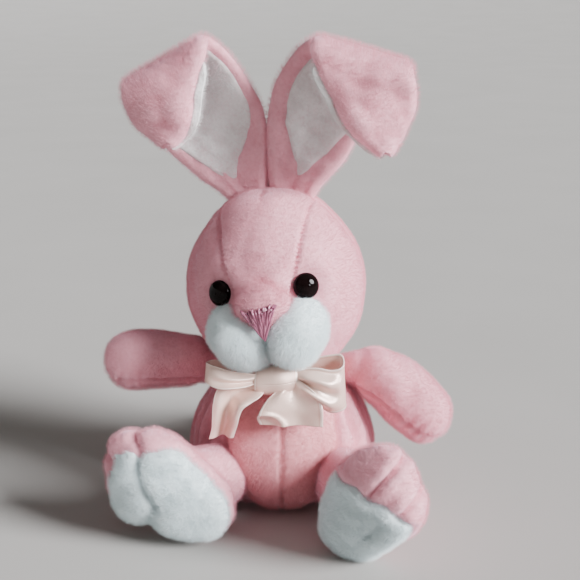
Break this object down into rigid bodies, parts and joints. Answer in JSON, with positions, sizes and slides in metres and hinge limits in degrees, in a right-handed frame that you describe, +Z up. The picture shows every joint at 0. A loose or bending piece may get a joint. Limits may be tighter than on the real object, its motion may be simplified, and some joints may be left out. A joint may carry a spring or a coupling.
{
  "type": "stuffed bunny rabbit",
  "caption": "Seated plush rabbit with folded-over ears, padded soles, stitched nose and a ribbon bow; head, ears, arms and legs flex at their seams.",
  "frame": {"origin": "centre of the flat seat the toy sits on", "axes": "+Z up from the seat to the ears; the face looks towards -Y; +X is the toy's own left"},
  "size_m": [0.1579, 0.1525, 0.2156],
  "materials": {
    "fibre_fill": "loose fibre",
    "pink_plush": "short pile",
    "salmon_plush": "short pile",
    "satin_ribbon": "satin",
    "white_plush": "short pile",
    "eye_gloss": "polished",
    "nylon_washer": "moulded, semi-matt",
    "mauve_thread": "lustrous embroidery thread",
    "bag_cloth": "woven cloth"
  },
  "bodies": {
    "torso": {"body_back_l": "pink_plush", "body_back_r": "pink_plush", "body_fill": "fibre_fill", "body_front_l": "salmon_plush", "body_front_r": "salmon_plush", "body_seat": "pink_plush", "bow_knot": "satin_ribbon", "bow_loop_l": "satin_ribbon", "bow_loop_r": "satin_ribbon", "bow_tail_l": "satin_ribbon", "bow_tail_r": "satin_ribbon", "pellet_bag": "bag_cloth", "ribbon_collar": "satin_ribbon", "tail": "white_plush"},
    "head": {"cheek_l": "white_plush", "cheek_r": "white_plush", "eye_l": "eye_gloss", "eye_r": "eye_gloss", "eye_washer_l": "nylon_washer", "eye_washer_r": "nylon_washer", "head_back_l": "pink_plush", "head_back_r": "pink_plush", "head_fill": "fibre_fill", "head_gusset": "pink_plush", "head_side_l": "pink_plush", "head_side_r": "pink_plush", "muzzle_bridge": "pink_plush", "nose_stitching": "mauve_thread"},
    "left_ear": {"ear_back_l": "pink_plush", "ear_liner_l": "white_plush"},
    "left_arm": {"arm_skin_l": "pink_plush", "arm_fill_l": "fibre_fill"},
    "left_leg": {"leg_fill_l": "fibre_fill", "leg_skin_l": "pink_plush", "sole_l": "white_plush", "toe_thread_l_1": "mauve_thread", "toe_thread_l_2": "mauve_thread"},
    "right_ear": {"ear_back_r": "pink_plush", "ear_liner_r": "white_plush"},
    "right_arm": {"arm_skin_r": "pink_plush", "arm_fill_r": "fibre_fill"},
    "right_leg": {"leg_fill_r": "fibre_fill", "leg_skin_r": "pink_plush", "sole_r": "white_plush", "toe_thread_r_1": "mauve_thread", "toe_thread_r_2": "mauve_thread"}
  },
  "joints": [
    {"name": "neck_turn", "type": "hinge", "parent": "torso", "child": "head", "pos_m": [0.0006, -0.00249, 0.06062], "axis": [-0.0775, 0.0123, 0.9969], "range_deg": [-25, 25], "stiffness_Nm_per_rad": 0.12},
    {"name": "left_ear_flop", "type": "hinge", "parent": "head", "child": "left_ear", "pos_m": [0.00632, 0.00065, 0.14479], "axis": [-0.9648, 0.1528, 0.214], "range_deg": [-25, 30], "stiffness_Nm_per_rad": 0.06},
    {"name": "left_shoulder", "type": "hinge", "parent": "torso", "child": "left_arm", "pos_m": [0.037, -0.002, 0.057], "axis": [0, -1, 0], "range_deg": [-5, 40], "stiffness_Nm_per_rad": 0.12},
    {"name": "left_hip", "type": "hinge", "parent": "torso", "child": "left_leg", "pos_m": [0.033, -0.041, 0.0175], "axis": [-1, 0, 0], "range_deg": [0, 30], "stiffness_Nm_per_rad": 0.15},
    {"name": "right_ear_flop", "type": "hinge", "parent": "head", "child": "right_ear", "pos_m": [-0.01681, 0.00432, 0.14294], "axis": [-0.9199, 0.1457, -0.3642], "range_deg": [-25, 30], "stiffness_Nm_per_rad": 0.06},
    {"name": "right_shoulder", "type": "hinge", "parent": "torso", "child": "right_arm", "pos_m": [-0.0365, -0.002, 0.057], "axis": [0, 1, 0], "range_deg": [-30, 20], "stiffness_Nm_per_rad": 0.12},
    {"name": "right_hip", "type": "hinge", "parent": "torso", "child": "right_leg", "pos_m": [-0.034, -0.0385, 0.0175], "axis": [-1, 0, 0], "range_deg": [0, 30], "stiffness_Nm_per_rad": 0.15}
  ]
}
